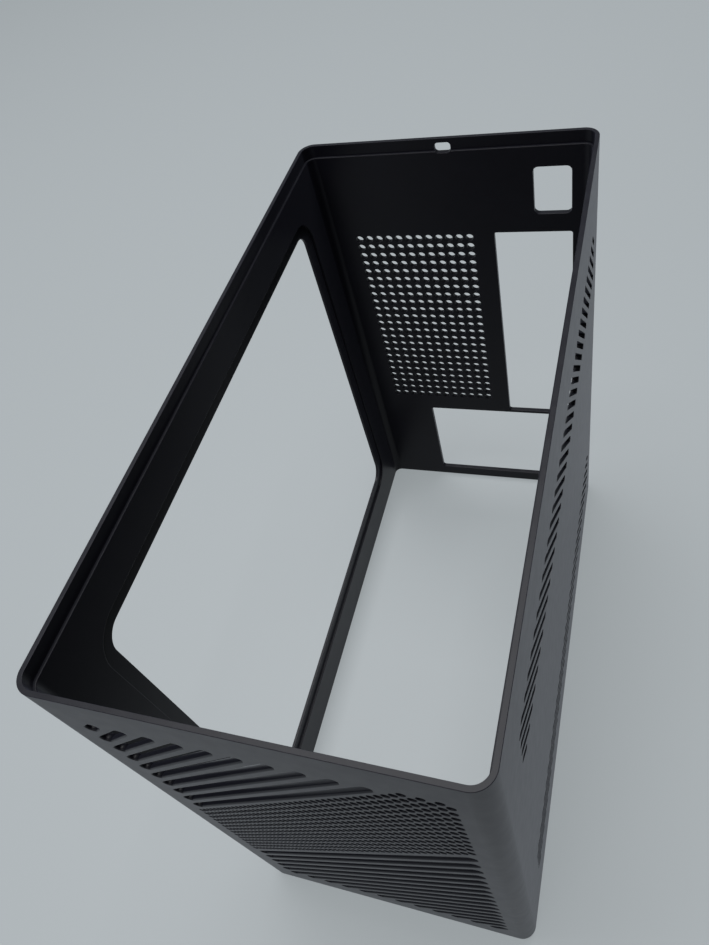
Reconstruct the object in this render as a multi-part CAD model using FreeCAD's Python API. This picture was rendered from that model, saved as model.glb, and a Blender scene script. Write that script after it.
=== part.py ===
import FreeCAD, Part
import math
import os

# Shell of a small computer case: one folded, welded and coated sheet, a tube open at its top and its foot.
# Millimetres. +Z is up, -Y the slotted front, +Y the rear with the connector openings, -X the windowed side.
# The origin is in the middle of the foot's plane. Heights are taken from the foot. Places across the case are
# taken from the left wall's outer face, and places along it from the front wall's outer face.

# The tube
WIDTH = 168.0
DEPTH = 338.0
HEIGHT = 306.0
WALL = 3.4
CORNER_R = 8.4
FOOT_EDGE = 1.2
RIM_EDGE = 0.3

# Rebate inside the rim, which seats the lid
RIM_WALL = 2.1
RIM_DEPTH = 7.0

# Window in the left wall, and the band round its inner side where the sheet is thinner
WINDOW_Y = (36.7, 303.3)
WINDOW_Z = (34.5, 271.2)
WINDOW_R = 10.0
REBATE_MARGIN = 7.6
REBATE_FLOOR = 1.8

# Rear wall openings: expansion cards, the board's connectors and the mains inlet
EXPANSION_X = (47.2, 153.9)
EXPANSION_Z = (9.0, 84.2)
EXPANSION_R = 2.0
IO_X = (108.6, 154.4)
IO_Z = (86.4, 245.2)
IO_R = 1.5
INLET_X = (132.9, 153.8)
INLET_Z = (257.3, 286.8)
INLET_R = 3.0
NOTCH_X = (79.5, 88.5)
NOTCH_Z = (298.0, 303.5)
NOTCH_R = 2.0
CORNER_FLATS = 3

# Vent holes in the rear wall, on a square pitch; six flats of the round hole's area stand for each
VENT_PITCH = 6.44
VENT_D = 4.8
VENT_COLUMNS = 12
VENT_ROWS = 23
VENT_FIRST_X = 22.6
VENT_TOP_Z = 242.0
VENT_SIDES = 6

# Front wall: slots at 45 degrees that rise to the right, clipped by one rectangle.
# The number that places a slot is the x less the z of its centre line.
FRONT_SLOT_W = 4.6
FRONT_FIELD_X = (17.3, 154.4)
FRONT_FIELD_Z = (21.0, 284.8)
FRONT_UPPER_FIRST = -260.5
FRONT_UPPER_STEP = 11.5
FRONT_UPPER_COUNT = 10
FRONT_LOWER_FIRST = -57.5
FRONT_LOWER_STEP = 11.3
FRONT_LOWER_COUNT = 17
FRONT_END_FLATS = 4

# Right wall: two bands of slots at 45 degrees that fall to the rear, each clipped by its own rectangle.
# The number that places a slot is the y plus the z of its centre line.
SIDE_SLOT_W = 3.0
SIDE_FIELD_Y = (31.5, 312.0)
SIDE_UPPER_Z = (229.0, 266.0)
SIDE_LOWER_Z = (40.0, 77.0)
SIDE_UPPER_LAST = 573.6
SIDE_LOWER_LAST = 384.6
SIDE_STEP = 8.0
SIDE_COUNT = 41
SIDE_END_FLATS = 2

# How far a cutter runs past each face of the wall that it cuts, and what counts as the same place
PAST = 1.0
NEAR = 0.01

RISING = 1
FALLING = -1


def rounded_prism(inset, radius, low, high):
    """The case's plan, drawn in by an inset and rounded at its corners, from one height to another."""
    width = WIDTH - 2 * inset
    depth = DEPTH - 2 * inset
    block = Part.makeBox(width, depth, high - low, FreeCAD.Vector(-width / 2, -depth / 2, low))
    upright = [edge for edge in block.Edges if edge.BoundBox.ZLength > high - low - PAST]
    return block.makeFillet(radius, upright)


def edges_at(shape, height):
    """The edges of a shape that lie in the level plane at a height."""
    level = [edge for edge in shape.Edges if edge.BoundBox.ZLength < NEAR]
    return [edge for edge in level if abs(edge.BoundBox.ZMin - height) < NEAR]


def tube():
    """The four walls, with their bent corners, softened outer edges and the rebate that seats the lid."""
    outer = rounded_prism(0, CORNER_R, 0, HEIGHT)
    outer = outer.makeChamfer(FOOT_EDGE, edges_at(outer, 0))
    outer = outer.makeChamfer(RIM_EDGE, edges_at(outer, HEIGHT))
    inside = rounded_prism(WALL, CORNER_R - WALL, -PAST, HEIGHT + PAST)
    rebate = rounded_prism(RIM_WALL, CORNER_R - RIM_WALL, HEIGHT - RIM_DEPTH, HEIGHT + PAST)
    return outer.cut([inside, rebate])


def on_front(across, up):
    """A point just outside the front wall."""
    return FreeCAD.Vector(across - WIDTH / 2, -DEPTH / 2 - PAST, up)


def on_rear(across, up):
    """A point just inside the rear wall."""
    return FreeCAD.Vector(across - WIDTH / 2, DEPTH / 2 - WALL - PAST, up)


def on_left(along, up):
    """A point just outside the left wall."""
    return FreeCAD.Vector(-WIDTH / 2 - PAST, along - DEPTH / 2, up)


def on_right(along, up):
    """A point just inside the right wall."""
    return FreeCAD.Vector(WIDTH / 2 - WALL - PAST, along - DEPTH / 2, up)


def prism_through(wall, outline):
    """Prism on an outline of flat sides, through the wall that the placing function names."""
    corners = [wall(u, up) for u, up in outline]
    push = FreeCAD.Vector(0, WALL + 2 * PAST, 0)
    if wall in (on_left, on_right):
        push = FreeCAD.Vector(WALL + 2 * PAST, 0, 0)
    return Part.Face(Part.makePolygon(corners + corners[:1])).extrude(push)


def rounded_opening(wall, across, up, radius):
    """Cutter for a rectangular opening with rounded corners."""
    square = [(across[0], up[0]), (across[1], up[0]), (across[1], up[1]), (across[0], up[1])]
    block = prism_through(wall, square)
    through = [edge for edge in block.Edges if abs(edge.Length - (WALL + 2 * PAST)) < NEAR]
    return block.makeFillet(radius, through)


def small_opening(wall, across, up, radius):
    """Cutter for a rectangular opening whose small corners are rounded in a few flats each."""
    corners = (
        (across[1] - radius, up[1] - radius, 0),
        (across[0] + radius, up[1] - radius, 1),
        (across[0] + radius, up[0] + radius, 2),
        (across[1] - radius, up[0] + radius, 3),
    )
    outline = []
    for centre_u, centre_z, quarter in corners:
        for step in range(CORNER_FLATS + 1):
            turn = math.pi / 2 * (quarter + step / CORNER_FLATS)
            outline.append((centre_u + radius * math.cos(turn), centre_z + radius * math.sin(turn)))
    return prism_through(wall, outline)


def window():
    """Window in the left wall, with the thinner band round its inner side."""
    hole = rounded_opening(on_left, WINDOW_Y, WINDOW_Z, WINDOW_R)
    band_y = (WINDOW_Y[0] - REBATE_MARGIN, WINDOW_Y[1] + REBATE_MARGIN)
    band_z = (WINDOW_Z[0] - REBATE_MARGIN, WINDOW_Z[1] + REBATE_MARGIN)
    band = rounded_opening(on_left, band_y, band_z, WINDOW_R + REBATE_MARGIN)
    band.translate(FreeCAD.Vector(PAST + REBATE_FLOOR, 0, 0))
    return [hole, band]


def rear_openings():
    """Openings for expansion cards, connectors and the mains inlet, and the notch at the rim."""
    return [
        small_opening(on_rear, EXPANSION_X, EXPANSION_Z, EXPANSION_R),
        small_opening(on_rear, IO_X, IO_Z, IO_R),
        small_opening(on_rear, INLET_X, INLET_Z, INLET_R),
        small_opening(on_rear, NOTCH_X, NOTCH_Z, NOTCH_R),
    ]


def vent_holes():
    """Grid of vent holes in the rear wall."""
    reach = VENT_D * math.sqrt(math.pi / (2 * VENT_SIDES * math.sin(2 * math.pi / VENT_SIDES)))
    holes = []
    for row in range(VENT_ROWS):
        for column in range(VENT_COLUMNS):
            across = VENT_FIRST_X + VENT_PITCH * column
            up = VENT_TOP_Z - VENT_PITCH * row
            turns = [2 * math.pi * side / VENT_SIDES for side in range(VENT_SIDES)]
            outline = [(across + reach * math.cos(turn), up + reach * math.sin(turn)) for turn in turns]
            holes.append(prism_through(on_rear, outline))
    return holes


def slot_outline(start, end, width, end_flats):
    """Outline of a straight slot, each of its rounded ends in a few flats."""
    heading = math.atan2(end[1] - start[1], end[0] - start[0])
    outline = []
    for centre, first in ((end, heading - math.pi / 2), (start, heading + math.pi / 2)):
        for step in range(end_flats + 1):
            turn = first + math.pi * step / end_flats
            outline.append((centre[0] + width / 2 * math.cos(turn), centre[1] + width / 2 * math.sin(turn)))
    return outline


def slot_in_field(line, way, width, field_u, field_z):
    """Ends of a 45 degree slot's centre line, as far as its rounded ends stay in a rectangle."""
    low_u = field_u[0] + width / 2
    high_u = field_u[1] - width / 2
    low_z = field_z[0] + width / 2
    high_z = field_z[1] - width / 2
    if way == RISING:
        start_u = max(low_u, line + low_z)
        end_u = min(high_u, line + high_z)
        return (start_u, start_u - line), (end_u, end_u - line)
    start_u = max(low_u, line - high_z)
    end_u = min(high_u, line - low_z)
    return (start_u, line - start_u), (end_u, line - end_u)


def front_slots():
    """Two groups of slots in the front wall, in its upper left and lower right."""
    lines = [FRONT_UPPER_FIRST + FRONT_UPPER_STEP * count for count in range(FRONT_UPPER_COUNT)]
    lines += [FRONT_LOWER_FIRST + FRONT_LOWER_STEP * count for count in range(FRONT_LOWER_COUNT)]
    slots = []
    for line in lines:
        start, end = slot_in_field(line, RISING, FRONT_SLOT_W, FRONT_FIELD_X, FRONT_FIELD_Z)
        slots.append(prism_through(on_front, slot_outline(start, end, FRONT_SLOT_W, FRONT_END_FLATS)))
    return slots


def side_slots():
    """Two bands of slots in the right wall, one near its top and one near its foot."""
    slots = []
    for field_z, last in ((SIDE_UPPER_Z, SIDE_UPPER_LAST), (SIDE_LOWER_Z, SIDE_LOWER_LAST)):
        for count in range(SIDE_COUNT):
            line = last - SIDE_STEP * count
            start, end = slot_in_field(line, FALLING, SIDE_SLOT_W, SIDE_FIELD_Y, field_z)
            if end[0] - start[0] < SIDE_SLOT_W / 2:
                continue
            slots.append(prism_through(on_right, slot_outline(start, end, SIDE_SLOT_W, SIDE_END_FLATS)))
    return slots


def chassis():
    """The finished shell, one solid."""
    shell = tube()
    for cutters in (window(), rear_openings(), vent_holes(), front_slots(), side_slots()):
        shell = shell.cut(cutters)
    return shell.Solids[0]


os.makedirs("parts", exist_ok=True)
shape = chassis()
shape.exportStep("parts/chassis.step")
print("chassis", round(shape.Volume), "mm3,", len(shape.Faces), "faces, valid", shape.isValid())
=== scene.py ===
# %% [markdown]
# # A small computer's sheet metal chassis
# The chassis is one shell of four sheet metal walls with no seam to be seen, coated satin black.
# The construction model already holds its size, its openings and its slots. This lesson dresses it.
# It remakes the shell with softened edges and its finest holes, gives it the coat, and lights it.

# %% Load the construction model
import math

import bmesh
import bpy
from mathutils import Matrix, Vector


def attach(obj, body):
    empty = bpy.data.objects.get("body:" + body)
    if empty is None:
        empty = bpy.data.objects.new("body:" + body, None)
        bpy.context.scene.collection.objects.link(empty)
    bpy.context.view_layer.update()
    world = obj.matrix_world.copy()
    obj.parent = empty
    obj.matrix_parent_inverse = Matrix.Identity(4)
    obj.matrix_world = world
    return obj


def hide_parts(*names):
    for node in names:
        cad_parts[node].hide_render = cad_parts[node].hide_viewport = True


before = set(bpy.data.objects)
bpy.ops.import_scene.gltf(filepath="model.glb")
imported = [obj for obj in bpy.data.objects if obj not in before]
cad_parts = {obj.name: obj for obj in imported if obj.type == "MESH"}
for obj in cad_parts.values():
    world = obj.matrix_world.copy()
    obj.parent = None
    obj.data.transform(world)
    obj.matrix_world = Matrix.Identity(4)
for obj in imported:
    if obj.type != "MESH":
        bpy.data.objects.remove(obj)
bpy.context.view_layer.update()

MM = 0.001
ML_PER_M3 = 1e6

# %% [markdown]
# ## Sizes
# A sheet metal drawing gives an opening's place from two faces of the case. These are the same sizes.
# Places across are from the left wall's outer face, places along from the front's, heights from the foot.
# Keeping them in millimetres makes each number one that could be checked with a rule.

# %% The shell's sizes, in millimetres
WIDTH, DEPTH, HEIGHT = 168.0, 338.0, 306.0
WALL = 3.4
CORNER_R = 8.4
FOOT_ROUND = 2.0
EDGE_ROUND = 0.4
RIM_WALL, RIM_DEPTH = 2.1, 7.0
RIM_ROUND_OUTSIDE, RIM_ROUND_INSIDE = 0.25, 0.15
FOOT_STEPS, EDGE_STEPS, SMALL_STEPS = 4, 3, 2
print("shell", WIDTH, "x", DEPTH, "x", HEIGHT, "mm")

# %% [markdown]
# ## The bare tube
# Such walls can be bent from one strip of sheet. In plan that is a rounded rectangle.
# One plan outline can be made by bevelling the four corners of a flat face.
# The wall's section is then walked point by point, from the foot up the outside and down the inside.
# Each point is one more outline, larger or smaller and at its own height, and neighbours are bridged.

# %% One rounded outline, and the steps of a softened edge
def rounded_outline(bm, length, width, radius, segments):
    """Adds a flat face with rounded corners about the origin, and returns it."""
    corners = bmesh.ops.create_grid(bm, x_segments=1, y_segments=1, size=0.5)["verts"]
    bmesh.ops.scale(bm, vec=(length * MM, width * MM, 1), verts=corners)
    rounded = bmesh.ops.bevel(
        bm, geom=corners, offset=radius * MM, offset_type="OFFSET", affect="VERTICES",
        segments=segments, profile=0.5, material=-1,
    )
    return rounded["verts"][0].link_faces[0]


def softened(size, steps, reach=None):
    """A rounded edge from face to wall: how far each point stands off the wall, and how deep it lies."""
    turns = [math.pi / 2 * step / steps for step in range(steps + 1)]
    return [(size * (1 - math.sin(turn)), (reach or size) * (1 - math.cos(turn))) for turn in turns]


sample_edge = softened(EDGE_ROUND, EDGE_STEPS)
print("a softened edge:", [(round(off, 2), round(deep, 2)) for off, deep in sample_edge])

# %% [markdown]
# Bridging two loops that lie in one plane can join them with a twist.
# So the outlines are bridged well apart, like hoops on a pole, and each is then let down to its own height.

# %% Bridge outlines into a solid
HOOP_GAP = 0.2


def stacked(outlines, segments, ring):
    """Bridges outlines of (length, width, radius, height), as a closed ring or with both ends capped."""
    bm = bmesh.new()
    hoops = []
    for place, (length, width, radius, height) in enumerate(outlines):
        face = rounded_outline(bm, length, width, radius, segments)
        bmesh.ops.translate(bm, vec=(0, 0, HOOP_GAP * place), verts=face.verts)
        hoops.append((list(face.edges), list(face.verts), height))
        if ring or place not in (0, len(outlines) - 1):
            bmesh.ops.delete(bm, geom=[face], context="FACES_ONLY")
    following = hoops[1:] + hoops[:1] if ring else hoops[1:]
    for hoop, after in zip(hoops, following):
        bmesh.ops.bridge_loops(bm, edges=hoop[0] + after[0])
    for edges, verts, height in hoops:
        bmesh.ops.scale(bm, vec=(1, 1, 0), verts=verts)
        bmesh.ops.translate(bm, vec=(0, 0, height * MM), verts=verts)
    bmesh.ops.remove_doubles(bm, verts=bm.verts, dist=0.01 * MM)
    bmesh.ops.recalc_face_normals(bm, faces=bm.faces)
    return bm


BLOCK_PLAN, BLOCK_HEIGHT, BLOCK_SEGMENTS = (20, 10, 2), 5, 4
hoop_test = stacked([(*BLOCK_PLAN, 0), (*BLOCK_PLAN, BLOCK_HEIGHT)], BLOCK_SEGMENTS, ring=False)
print("a 20 x 10 x 5 mm block holds", round(hoop_test.calc_volume() * ML_PER_M3, 3), "ml")
hoop_test.free()

# %% The wall's section, and the tube that it makes
CORNER_SEGMENTS = 20


def wall_section():
    """Inset and height of each point of the section, from the foot up the outside and down the inside."""
    ledge = HEIGHT - RIM_DEPTH
    section = softened(FOOT_ROUND, FOOT_STEPS)
    section += [(off, HEIGHT - deep) for off, deep in reversed(softened(RIM_ROUND_OUTSIDE, EDGE_STEPS))]
    section += [(RIM_WALL - off, HEIGHT - deep) for off, deep in softened(RIM_ROUND_INSIDE, EDGE_STEPS)]
    section += [(RIM_WALL, ledge)]
    section += [(WALL - off, ledge - deep) for off, deep in softened(EDGE_ROUND, EDGE_STEPS)]
    section += [(WALL - off, deep) for off, deep in reversed(softened(EDGE_ROUND, EDGE_STEPS))]
    return section


tube = stacked(
    [(WIDTH - 2 * inset, DEPTH - 2 * inset, CORNER_R - inset, height) for inset, height in wall_section()],
    CORNER_SEGMENTS, ring=True,
)
leaks = [edge for edge in tube.edges if not edge.is_manifold]
print("tube:", len(tube.faces), "faces,", len(leaks), "leaks,", round(tube.calc_volume() * ML_PER_M3), "ml")

# %% [markdown]
# ## Cutting the openings
# Such openings are usually cut while the sheet is flat, and their edges are then eased and coated.
# Here each opening is a plug that is taken away from the tube, as a punch takes its slug.
# A plug is a stack of outlines again. It flares where it passes each face of the sheet.
# So the boolean leaves the rounded edge itself, and no bevel has to find its way round a thousand holes.
# The flare starts a hair outside the face, because an outline in the face's own plane leaves slivers.
# It may reach deeper than it grows, which rounds an edge over more along the cut than across it.

# %% A plug that flares at both faces of the sheet
PAST = 1.0
HAIR = 0.01


def plug_depths(outside, inside, outer_steps, inner_steps, reach=None):
    """Height and growth of each outline of a plug, from the edge rounded outside to the one inside."""
    flare = [(HAIR - deep, off) for off, deep in softened(outside, outer_steps)]
    flare += [(deep - WALL - HAIR, off) for off, deep in reversed(softened(inside, inner_steps, reach))]
    return [(PAST, outside)] + flare + [(-WALL - PAST, inside)]


def plug(length, width, radius, depths, segments):
    """Mesh of a closed plug about its own middle, +Z out of the sheet."""
    outlines = [(length + 2 * grow, width + 2 * grow, radius + grow, height) for height, grow in depths]
    bm = stacked(outlines, segments, ring=False)
    mesh = bpy.data.meshes.new("plug")
    bm.to_mesh(mesh)
    bm.free()
    return mesh


TEST_D, TEST_ROUND, TEST_SEGMENTS = 5, 0.3, 5
test_depths = plug_depths(TEST_ROUND, TEST_ROUND, SMALL_STEPS, SMALL_STEPS)
test_plug = plug(TEST_D, TEST_D, TEST_D / 2, test_depths, TEST_SEGMENTS)
print("a small hole's plug:", len(test_plug.polygons), "faces")

# %% [markdown]
# Each wall gets a frame of its own: across, up, and out of the sheet.
# A plug made about its own middle is then set in place by a point on the wall and a turn in its plane.

# %% Where the walls are
def wall_frame(across, outward, face):
    """Matrix from a wall's own axes (across, up, outward) to the case's, at the wall's outer face."""
    up = Vector((0, 0, 1))
    axes = Matrix((across, up, outward)).transposed().to_4x4()
    return Matrix.Translation(Vector(outward) * face * MM) @ axes


FRONT = wall_frame((1, 0, 0), (0, -1, 0), DEPTH / 2)
REAR = wall_frame((-1, 0, 0), (0, 1, 0), DEPTH / 2)
RIGHT = wall_frame((0, 1, 0), (1, 0, 0), WIDTH / 2)
LEFT = wall_frame((0, -1, 0), (-1, 0, 0), WIDTH / 2)
plugs = bmesh.new()


def punch(wall, mesh, across, height, turn=0.0):
    """Adds a plug to the set, at a place on a wall given from the wall's middle line and the foot."""
    first = len(plugs.verts)
    plugs.from_mesh(mesh)
    plugs.verts.ensure_lookup_table()
    place = wall @ Matrix.Translation((across * MM, height * MM, 0)) @ Matrix.Rotation(turn, 4, "Z")
    bmesh.ops.transform(plugs, matrix=place, verts=plugs.verts[first:])


wall_places = [round(wall.translation.y, 4) for wall in (FRONT, REAR)]
print("outer faces: front and rear at y", wall_places)

# %% [markdown]
# ## The front's slots
# The slots run up to the right at 45 degrees. A rectangle clips them, so each has its own length.
# A slot is placed by its line: how far right of the wall's left edge it is, less how high.
# One rule then gives both ends, and a loop makes each group.
# Their mouths are rounded well over, so a slot's lower edge melts into the wall and its upper one is crisp.

# %% Slots clipped by a rectangle
def clipped_slot(line, rising, width, field_across, field_height):
    """Middle and length of a 45 degree slot that fills its line inside a rectangle."""
    low_a, high_a = field_across[0] + width / 2, field_across[1] - width / 2
    low_h, high_h = field_height[0] + width / 2, field_height[1] - width / 2
    if rising:
        start, end = max(low_a, line + low_h), min(high_a, line + high_h)
        height = (start + end) / 2 - line
    else:
        start, end = max(low_a, line - high_h), min(high_a, line - low_h)
        height = line - (start + end) / 2
    return (start + end) / 2, height, (end - start) * math.sqrt(2) + width


SLOT_W = 4.4
SLOT_MOUTH, SLOT_INSIDE, SLOT_REACH = 0.8, 1.5, 2.5
SLOT_STEPS, SLOT_SEGMENTS = 5, 6
SLOT_FIELD = ((17.3, 154.4), (21.0, 284.8))
UPPER_FIRST, UPPER_STEP, UPPER_COUNT = -260.5, 11.5, 10
LOWER_FIRST, LOWER_STEP, LOWER_COUNT = -57.5, 11.3, 17
SLANT = math.radians(45)

slot_lines = [UPPER_FIRST + UPPER_STEP * count for count in range(UPPER_COUNT)]
slot_lines += [LOWER_FIRST + LOWER_STEP * count for count in range(LOWER_COUNT)]
slot_depths = plug_depths(SLOT_MOUTH, SLOT_INSIDE, SLOT_STEPS, SLOT_STEPS, SLOT_REACH)
for line in slot_lines:
    across, height, length = clipped_slot(line, True, SLOT_W, *SLOT_FIELD)
    mesh = plug(length, SLOT_W, SLOT_W / 2, slot_depths, SLOT_SEGMENTS)
    punch(FRONT, mesh, across - WIDTH / 2, height, SLANT)
print("front slots:", len(slot_lines))

# %% [markdown]
# ## The front's fine holes
# Between the two groups of slots runs a band of small round holes, in rows along the slots' own direction.
# They are all alike, so one plug is made once and punched again and again.
# It has twelve sides and a mouth rounded in two steps, because hundreds of holes share the shell's faces.

# %% The band of fine holes
FINE_D, FINE_MOUTH, FINE_INSIDE = 3.3, 0.4, 0.25
FINE_MOUTH_STEPS, FINE_INSIDE_STEPS, FINE_SEGMENTS = 2, 1, 3
FINE_FIRST_X, FINE_STEP, FINE_COLUMNS = 17.2, 3.09, 45
FINE_FIRST_LINE, FINE_LINE_STEP, FINE_ROWS = -148.2, 6.17, 14
FINE_TOP = 288.0

fine_depths = plug_depths(FINE_MOUTH, FINE_INSIDE, FINE_MOUTH_STEPS, FINE_INSIDE_STEPS)
fine_plug = plug(FINE_D, FINE_D, FINE_D / 2, fine_depths, FINE_SEGMENTS)
fine_holes = 0
for row in range(FINE_ROWS):
    line = FINE_FIRST_LINE + FINE_LINE_STEP * row
    for column in range(FINE_COLUMNS):
        across = FINE_FIRST_X + FINE_STEP * column
        if across - line < FINE_TOP:
            punch(FRONT, fine_plug, across - WIDTH / 2, across - line)
            fine_holes += 1
print("fine holes:", fine_holes)

# %% [markdown]
# ## The right wall's slots
# Two bands of narrower slots let air in beside the board, one near the rim and one near the foot.
# They fall to the rear at 45 degrees. Each band ends at an upright line, so its last slots are short.

# %% Two bands of slots
SIDE_SLOT_W, SIDE_MOUTH, SIDE_INSIDE = 3.0, 0.25, 0.12
SIDE_ALONG = (31.5, 312.0)
SIDE_BANDS = [((229.0, 266.0), 573.6), ((40.0, 77.0), 384.6)]
SIDE_STEP, SIDE_LINES, SIDE_SHORTEST = 8.0, 41, 1.7
SIDE_SEGMENTS = 4

side_depths = plug_depths(SIDE_MOUTH, SIDE_INSIDE, SMALL_STEPS, SMALL_STEPS)
side_slots = 0
for heights, last_line in SIDE_BANDS:
    for count in range(SIDE_LINES):
        line = last_line - SIDE_STEP * count
        along, height, length = clipped_slot(line, False, SIDE_SLOT_W, SIDE_ALONG, heights)
        if length > SIDE_SLOT_W * SIDE_SHORTEST:
            mesh = plug(length, SIDE_SLOT_W, SIDE_SLOT_W / 2, side_depths, SIDE_SEGMENTS)
            punch(RIGHT, mesh, along - DEPTH / 2, height, -SLANT)
            side_slots += 1
print("side slots:", side_slots)

# %% [markdown]
# ## The rear wall
# The rear takes standard parts: expansion cards, the board's connector shield and a mains inlet.
# Beside them is a field of round vent holes on a square pitch, and the rim has one small notch.

# %% Rear openings and vent
REAR_OPENINGS = {
    "expansion": ((47.2, 153.9), (9.0, 84.2), 2.0),
    "connectors": ((108.6, 154.4), (86.4, 245.2), 1.5),
    "inlet": ((132.9, 153.8), (257.3, 286.8), 3.0),
    "notch": ((79.5, 88.5), (298.0, 303.5), 2.0),
}
REAR_ROUND = 0.3
REAR_SEGMENTS, VENT_SEGMENTS = 6, 5
VENT_D, VENT_PITCH = 4.8, 6.44
VENT_FIRST_X, VENT_TOP = 22.6, 242.0
VENT_COLUMNS, VENT_ROWS = 12, 23

rear_depths = plug_depths(REAR_ROUND, REAR_ROUND, SMALL_STEPS, SMALL_STEPS)
for sides, heights, radius in REAR_OPENINGS.values():
    mesh = plug(sides[1] - sides[0], heights[1] - heights[0], radius, rear_depths, REAR_SEGMENTS)
    punch(REAR, mesh, WIDTH / 2 - sum(sides) / 2, sum(heights) / 2)

vent_plug = plug(VENT_D, VENT_D, VENT_D / 2, rear_depths, VENT_SEGMENTS)
for column in range(VENT_COLUMNS):
    for row in range(VENT_ROWS):
        punch(REAR, vent_plug, WIDTH / 2 - VENT_FIRST_X - VENT_PITCH * column, VENT_TOP - VENT_PITCH * row)
print("rear openings:", list(REAR_OPENINGS), "and", VENT_COLUMNS * VENT_ROWS, "vent holes")

# %% [markdown]
# ## The side window
# The window takes a panel fitted from inside. A band of the sheet's inner side is thinner, to seat it.
# Its plug is one more stack of outlines: the window's own through the thin sheet, and then the band's.

# %% The window and its seat
WINDOW_ALONG, WINDOW_HEIGHTS, WINDOW_R = (36.7, 303.3), (34.5, 271.2), 10.0
SEAT_MARGIN, SEAT_SHEET = 7.6, 1.8
LIP_ROUND, SEAT_ROUND = 0.2, 0.3
WINDOW_SEGMENTS = 16

window_depths = [(PAST, EDGE_ROUND)]
window_depths += [(HAIR - deep, off) for off, deep in softened(EDGE_ROUND, EDGE_STEPS)]
window_depths += [(deep - SEAT_SHEET, off) for off, deep in reversed(softened(LIP_ROUND, SMALL_STEPS))]
window_depths += [(-SEAT_SHEET, SEAT_MARGIN)]
seat_edge = reversed(softened(SEAT_ROUND, SMALL_STEPS))
window_depths += [(deep - WALL - HAIR, SEAT_MARGIN + off) for off, deep in seat_edge]
window_depths += [(-WALL - PAST, SEAT_MARGIN + SEAT_ROUND)]
window_long, window_high = WINDOW_ALONG[1] - WINDOW_ALONG[0], WINDOW_HEIGHTS[1] - WINDOW_HEIGHTS[0]
window_plug = plug(window_long, window_high, WINDOW_R, window_depths, WINDOW_SEGMENTS)
punch(LEFT, window_plug, DEPTH / 2 - sum(WINDOW_ALONG) / 2, sum(WINDOW_HEIGHTS) / 2)
print("window:", round(window_long, 1), "x", round(window_high, 1), "mm")

# %% [markdown]
# ## Take the plugs away
# The boolean works on objects, so the tube and the plugs each become one.
# Its manifold solver is quick and needs closed meshes, which both are. The plugs are deleted afterwards.
# Weighted normals then keep each flat wall flat and let the bends and the softened edges shade round.

# %% Cut the shell
def as_object(name, bm):
    """Turns a bmesh into an object at the origin."""
    mesh = bpy.data.meshes.new(name)
    bm.to_mesh(mesh)
    bm.free()
    thing = bpy.data.objects.new(name, mesh)
    bpy.context.scene.collection.objects.link(thing)
    return thing


SHARP_FROM_DEG = 50

shell = as_object("chassis_shell", tube)
punches = as_object("punches", plugs)
cut = shell.modifiers.new("openings", "BOOLEAN")
cut.operation = "DIFFERENCE"
cut.solver = "MANIFOLD"
cut.object = punches

bare = bpy.data.meshes.new_from_object(shell.evaluated_get(bpy.context.evaluated_depsgraph_get()))
shell.modifiers.clear()
shell.data = bare
bpy.data.objects.remove(punches)
for mesh in [mesh for mesh in bpy.data.meshes if mesh.users == 0]:
    bpy.data.meshes.remove(mesh)
bare.shade_smooth()
bare.set_sharp_from_angle(angle=math.radians(SHARP_FROM_DEG))
weigh = shell.modifiers.new("weighted normals", "WEIGHTED_NORMAL")
weigh.keep_sharp = True
print("shell:", len(bare.polygons), "faces,", sum(len(p.vertices) - 2 for p in bare.polygons), "triangles")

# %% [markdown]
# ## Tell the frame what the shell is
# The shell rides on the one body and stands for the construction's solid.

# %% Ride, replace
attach(shell, "root")
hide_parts("chassis")
print("shell rides on root")

# %% [markdown]
# ## Colours, nodes and an empty material
# The finish is powder coat: dry polyester powder, baked until it flows into a tough satin black skin.
# A material is a tree of nodes, and three small helpers are enough to grow one.
# One turns a colour code to the linear colour that a shader wants, and one starts an empty material.
# The last adds a node. Its wires and values go to sockets by name or number, and settings are its options.

# %% Three helpers for materials
def srgb(code):
    """Linear colour of an sRGB hex code."""
    channels = [int(code[place:place + 2], 16) / 255 for place in (1, 3, 5)]
    linear = [c / 12.92 if c <= 0.04045 else ((c + 0.055) / 1.055) ** 2.4 for c in channels]
    return (*linear, 1.0)


def new_material(name):
    """An empty node material and its tree."""
    material = bpy.data.materials.new(name)
    material.use_nodes = True
    material.node_tree.nodes.clear()
    return material, material.node_tree


def add_node(tree, kind, wires=None, values=None, **settings):
    """Adds a node, with its options set, its sockets filled and its wires joined."""
    node = tree.nodes.new(kind)
    for name, value in settings.items():
        setattr(node, name, value)
    for socket, value in (values or {}).items():
        node.inputs[socket].default_value = value
    for socket, source in (wires or {}).items():
        tree.links.new(source, node.inputs[socket])
    return node


print("a black of #0c0c13 is linear", [round(c, 4) for c in srgb("#0c0c13")])

# %% [markdown]
# ## A black that isn't flat
# Carbon black in the powder makes the coat a deep, slightly blue black.
# Powder lands unevenly, so its depth drifts in soft clouds a few centimetres across.
# A noise texture on object coordinates makes the clouds, and a ramp turns them to two near blacks.

# %% The coat's black
CLOUD_MM = 28.0
coat, tree = new_material("satin_black_powder_coat")
spot = add_node(tree, "ShaderNodeTexCoord")
place = spot.outputs["Object"]

cloud_scale = {"Scale": 1 / (CLOUD_MM * MM), "Detail": 3.0}
clouds = add_node(tree, "ShaderNodeTexNoise", {"Vector": place}, cloud_scale)
black = add_node(tree, "ShaderNodeValToRGB", {"Fac": clouds.outputs["Fac"]})
for stop, code in zip(black.color_ramp.elements, ("#09090f", "#100f17")):
    stop.color = srgb(code)
print("clouds are", CLOUD_MM, "mm across")
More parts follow.
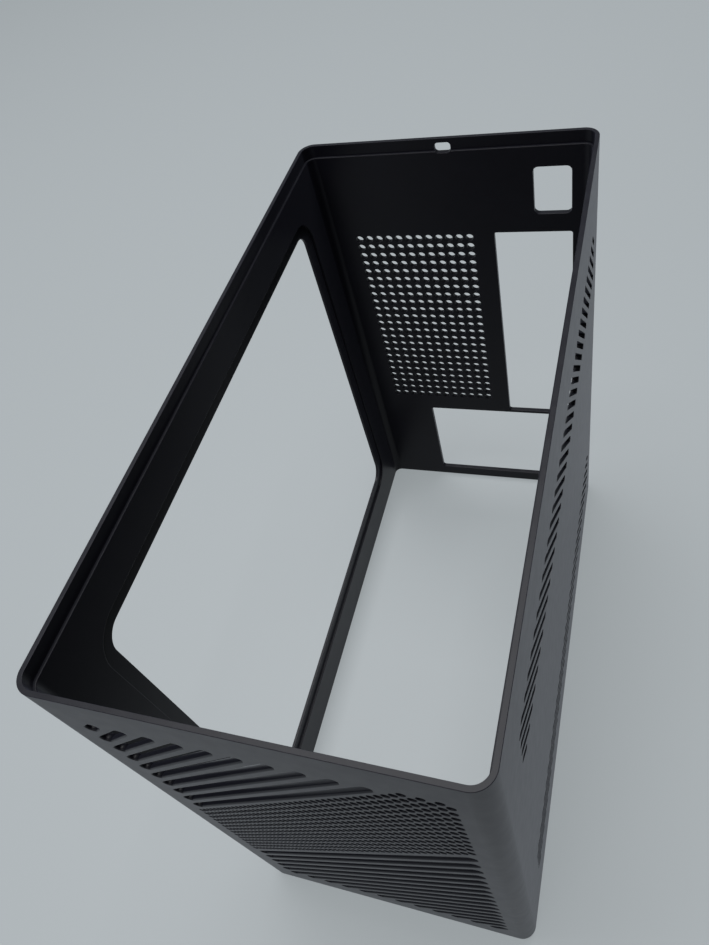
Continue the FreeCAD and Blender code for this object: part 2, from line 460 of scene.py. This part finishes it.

# %% [markdown]
# ## A thin skin and a painted highlight along the edges
# Molten powder draws back from a sharp edge, and hands and tools rub there first, so edges look paler. The
# pale grey mixed in there is partly that thin, rubbed coat and partly a painted highlight along each edge.
# A Bevel node gives the normal as if edges were rounder. Where it leans away from the true one is an edge.
# The lean is the dot product of the two: 1 on a flat wall and less beside an edge.

# %% Paler edges: thin coat and painted highlight
EDGE_WEAR_AND_HIGHLIGHT_MM = 0.7
rounder = add_node(tree, "ShaderNodeBevel", values={"Radius": EDGE_WEAR_AND_HIGHLIGHT_MM * MM}, samples=4)
true_normal = add_node(tree, "ShaderNodeNewGeometry").outputs["Normal"]
both_normals = {0: rounder.outputs["Normal"], 1: true_normal}
lean = add_node(tree, "ShaderNodeVectorMath", both_normals, operation="DOT_PRODUCT")
edge_range = {"From Min": 0.995, "From Max": 0.8, "To Min": 0.0, "To Max": 0.7}
thin_coat_and_highlight = add_node(tree, "ShaderNodeMapRange", {"Value": lean.outputs["Value"]}, edge_range)
over_black = {"Factor": thin_coat_and_highlight.outputs["Result"], 6: black.outputs["Color"]}
# The pale grey along edges is partly thin coat and partly a painted highlight.
edges_worn_and_highlighted = add_node(tree, "ShaderNodeMix", over_black, {7: srgb("#2c2c36")}, data_type="RGBA")
print("edges are paler within", EDGE_WEAR_AND_HIGHLIGHT_MM, "mm")

# %% [markdown]
# ## Dust and a painted highlight on what faces up
# A matt skin holds a little grey dust, and only where it can settle: on the rim, the ledge and the sills.
# The same lighter grey on every upward face is also a painted highlight, for the overhead light that such
# faces mirror.
# The surface's own normal says how far it faces up. A finer noise keeps the grey from lying evenly.

# %% Settled dust and painted top highlight
GLOSS_MM = 7.0
upward = add_node(tree, "ShaderNodeSeparateXYZ", {"Vector": spot.outputs["Normal"]})
flat_range = {"From Min": 0.75, "From Max": 1.0, "To Min": 0.0, "To Max": 1.0}
flat = add_node(tree, "ShaderNodeMapRange", {"Value": upward.outputs["Z"]}, flat_range)

patch_scale = {"Scale": 1 / (GLOSS_MM * MM), "Detail": 2.0}
patches = add_node(tree, "ShaderNodeTexNoise", {"Vector": place}, patch_scale)
patch_range = {"From Min": 0.3, "From Max": 0.7, "To Min": 0.6, "To Max": 1.0}
patchy = add_node(tree, "ShaderNodeMapRange", {"Value": patches.outputs["Fac"]}, patch_range)

both_masks = {0: flat.outputs["Result"], 1: patchy.outputs["Result"]}
# Upward faces get a lighter grey: partly settled dust, partly a painted highlight from the overhead light.
dust_and_top_highlight = add_node(tree, "ShaderNodeMath", both_masks, operation="MULTIPLY")
over_edges = {"Factor": dust_and_top_highlight.outputs["Value"], 6: edges_worn_and_highlighted.outputs[2]}
coat_with_dust_and_top_highlight = add_node(tree, "ShaderNodeMix", over_edges, {7: srgb("#212227")}, data_type="RGBA")
print("dust lies in patches of", GLOSS_MM, "mm")

# %% [markdown]
# ## Orange peel and satin
# Baking leaves a faint ripple, orange peel, about a millimetre across and a few micrometres deep.
# Its bump is drawn 20 micrometres deep at a quarter of full strength, so that it only just shows.
# The same patches that hold the dust and the painted highlight make the gloss drift a little, so reflections
# aren't ruled off.

# %% Ripple and roughness
PEEL_MM, PEEL_DEEP_MM = 0.9, 0.02
peel_scale = {"Scale": 1 / (PEEL_MM * MM), "Detail": 2.0}
peel = add_node(tree, "ShaderNodeTexNoise", {"Vector": place}, peel_scale)
peel_depth = {"Strength": 0.25, "Distance": PEEL_DEEP_MM * MM}
ripple = add_node(tree, "ShaderNodeBump", {"Height": peel.outputs["Fac"]}, peel_depth)
satin_range = {"From Min": 0.3, "From Max": 0.7, "To Min": 0.34, "To Max": 0.37}
satin = add_node(tree, "ShaderNodeMapRange", {"Value": patches.outputs["Fac"]}, satin_range)
print("ripple is", PEEL_MM, "mm across")

# %% [markdown]
# ## The coat's shader
# Powder coat is a dielectric: dark face on, and more and more of a mirror towards grazing angles.
# A clear polyester has an IOR near 1.5. Here it is lower, because that keeps walls seen face
# on a deep black. No real coat is so low, and it costs the edges some of their gleam.
# A little bluish sheen stands for light that the coat's matting grains scatter, and lights the slots' walls.

# %% Put the coat together and lay it on
coat_wires = {
    "Base Color": coat_with_dust_and_top_highlight.outputs[2],
    "Roughness": satin.outputs["Result"],
    "Normal": ripple.outputs["Normal"],
}
coat_values = {"IOR": 1.24, "Sheen Weight": 0.08, "Sheen Roughness": 0.4, "Sheen Tint": srgb("#ced4f0")}
skin = add_node(tree, "ShaderNodeBsdfPrincipled", coat_wires, coat_values)
add_node(tree, "ShaderNodeOutputMaterial", {"Surface": skin.outputs["BSDF"]})
shell.data.materials.clear()
shell.data.materials.append(coat)
print("materials:", [slot.name for slot in shell.material_slots])

# %% [markdown]
# ## The pale table
# The chassis stands on a plain pale sheet that curves up far away on every side, as a backdrop does.
# A satin black shows its shape by what it mirrors, so the sheet is large and its edge is well above the rim.
# A filled circle makes the floor. Its rim is pulled up, and the fold is bevelled into a wide cove.

# %% A sheet with a cove round it
TABLE_R, COVE_HIGH, COVE_R = 6.0, 2.1, 1.9
UNDER_FOOT = 0.0002

sheet = bmesh.new()
floor = bmesh.ops.create_circle(sheet, cap_ends=True, radius=TABLE_R, segments=64)["verts"]
bmesh.ops.translate(sheet, vec=(0, 0, -UNDER_FOOT), verts=floor)
folds = list(sheet.edges)
pulled = bmesh.ops.extrude_edge_only(sheet, edges=folds)["geom"]
tops = [part for part in pulled if isinstance(part, bmesh.types.BMVert)]
bmesh.ops.translate(sheet, vec=(0, 0, COVE_HIGH), verts=tops)
bmesh.ops.bevel(
    sheet, geom=folds, offset=COVE_R, offset_type="OFFSET", affect="EDGES",
    segments=8, profile=0.5, material=-1,
)
bmesh.ops.recalc_face_normals(sheet, faces=sheet.faces)
table = as_object("pale_table", sheet)
table.data.shade_smooth()
print("table", [round(side, 2) for side in table.dimensions])

# %% [markdown]
# ## Paint for the table
# Under these lamps a matt sheet goes grey away from the middle, where a large pale room would keep it light.
# So part of the paleness is a glow that is seen directly, in reflections and through glass.
# The Light Path node says which rays those are. The coat mirrors the glow, but matt faces aren't lit by it.
# The rest is plain matt paint, which keeps the soft shadow under the walls.

# %% Matt pale laminate
GLOW = 0.48
laminate, tree = new_material("matt_pale_laminate")
rays = add_node(tree, "ShaderNodeLightPath")
eye_and_mirror = {0: rays.outputs["Is Camera Ray"], 1: rays.outputs["Is Glossy Ray"]}
seen = add_node(tree, "ShaderNodeMath", eye_and_mirror, operation="MAXIMUM")
and_glass = {0: seen.outputs["Value"], 1: rays.outputs["Is Transmission Ray"]}
seen_through = add_node(tree, "ShaderNodeMath", and_glass, operation="MAXIMUM")
glow = add_node(tree, "ShaderNodeMath", {0: seen_through.outputs["Value"]}, {1: GLOW}, operation="MULTIPLY")
paint = {"Base Color": srgb("#686c6f"), "Roughness": 0.6, "Emission Color": srgb("#bec6c9")}
matt = add_node(tree, "ShaderNodeBsdfPrincipled", {"Emission Strength": glow.outputs["Value"]}, paint)
add_node(tree, "ShaderNodeOutputMaterial", {"Surface": matt.outputs["BSDF"]})
table.data.materials.append(laminate)
print("table is painted", laminate.name)

# %% [markdown]
# ## Light
# One large soft box overhead does most of the work, with a weak one in front and a dim even room.
# Large lamps give soft shadows and broad reflections, which is how a satin coat shows its bends.

# %% A dim room and two soft boxes
ROOM_STRENGTH = 0.13
world = bpy.data.worlds.new("soft_room")
bpy.context.scene.world = world
world.use_nodes = True
room = world.node_tree.nodes["Background"]
room.inputs["Color"].default_value = srgb("#e8ebf4")
room.inputs["Strength"].default_value = ROOM_STRENGTH


def soft_box(name, place, aim, size, watts):
    """A square area lamp at a place, turned to face a point."""
    lamp = bpy.data.lights.new(name, "AREA")
    lamp.shape = "SQUARE"
    lamp.size = size
    lamp.energy = watts
    box = bpy.data.objects.new(name, lamp)
    box.location = place
    box.rotation_euler = (Vector(aim) - Vector(place)).to_track_quat("-Z", "Y").to_euler()
    bpy.context.scene.collection.objects.link(box)
    return box


soft_box("overhead", place=(-0.3, 0.35, 2.2), aim=(-0.3, 0.35, 0), size=1.8, watts=58)
soft_box("front", place=(-0.5, -2.2, 1.3), aim=(0, 0, 0.15), size=1.6, watts=14)
print("room strength", ROOM_STRENGTH)

# %% [markdown]
# ## Camera
# The eye is above the front right corner and a little outside it, and looks down through the open top.
# A wide lens that near makes the front wall lean in, and a small shift sets the case in the frame.

# %% Camera
camera_data = bpy.data.cameras.new("camera")
camera_data.sensor_width = 36.0
camera_data.lens = 29.04
camera_data.shift_x = -0.0057
camera_data.shift_y = 0.0085
camera_data.clip_start = 0.01
camera = bpy.data.objects.new("camera", camera_data)
camera.location = (0.1094, -0.2227, 0.5268)
camera.rotation_euler = [math.radians(angle) for angle in (37.698, 12.243, 15.364)]
bpy.context.scene.collection.objects.link(camera)
bpy.context.scene.camera = camera
bpy.context.scene.view_settings.view_transform = "Standard"
print("camera at", [round(value, 3) for value in camera.location])

# %% [markdown]
# ## The end
# The dressed part has to stay inside the construction's box.

# %% Done
print("scene built")
